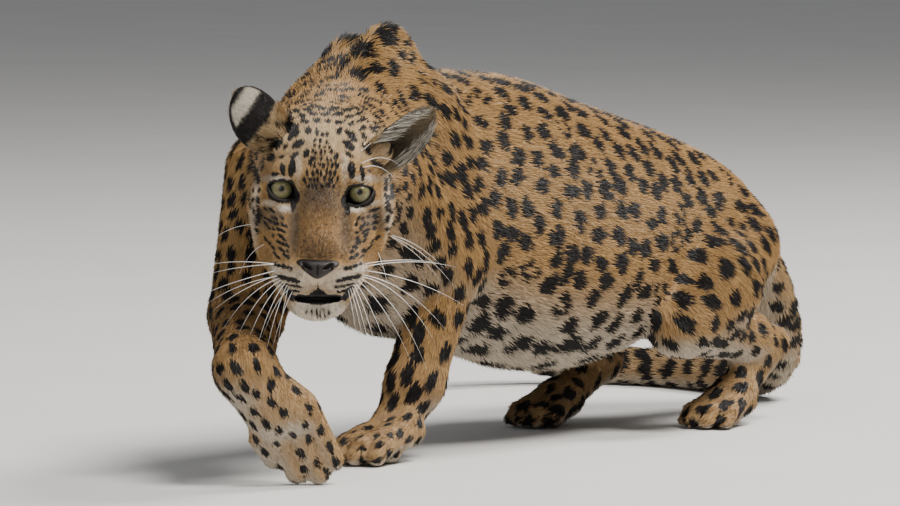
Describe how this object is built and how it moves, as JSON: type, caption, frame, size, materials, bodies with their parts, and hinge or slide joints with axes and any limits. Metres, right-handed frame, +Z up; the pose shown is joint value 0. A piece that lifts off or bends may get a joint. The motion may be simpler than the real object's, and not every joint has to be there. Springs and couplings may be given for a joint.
{
  "type": "leopard model",
  "caption": "Life-size still model of an adult leopard walking low and slow, head turned to face the viewer, one forepaw swinging with a bent wrist.",
  "frame": {"origin": "on the floor, under the middle of the model's bounding box", "axes": "+Z up, chest towards -Y and hindquarters towards +Y, the animal's left side towards +X"},
  "size_m": [0.7094, 1.3372, 0.4982],
  "materials": {
    "coat": "short dense fur, tawny above and whitish below, with black spots and rosettes",
    "nose": "moist fine-grained skin",
    "eye": "glossy pale iris with a small dark pupil"
  },
  "bodies": {
    "root": {"torso": "coat", "neck": "coat", "upper_foreleg_left": "coat", "forearm_left": "coat", "forepaw_left": "coat", "upper_foreleg_right": "coat", "forearm_right": "coat", "forepaw_right": "coat", "thigh_left": "coat", "shank_left": "coat", "hindpaw_left": "coat", "thigh_right": "coat", "shank_right": "coat", "hindpaw_right": "coat", "tail_root": "coat", "tail_middle": "coat", "tail_tip": "coat", "nose": "nose", "eye_right": "eye", "eye_left": "eye", "ear_right": "coat", "ear_left": "coat", "head": "coat", "lower_jaw": "coat"}
  },
  "joints": []
}
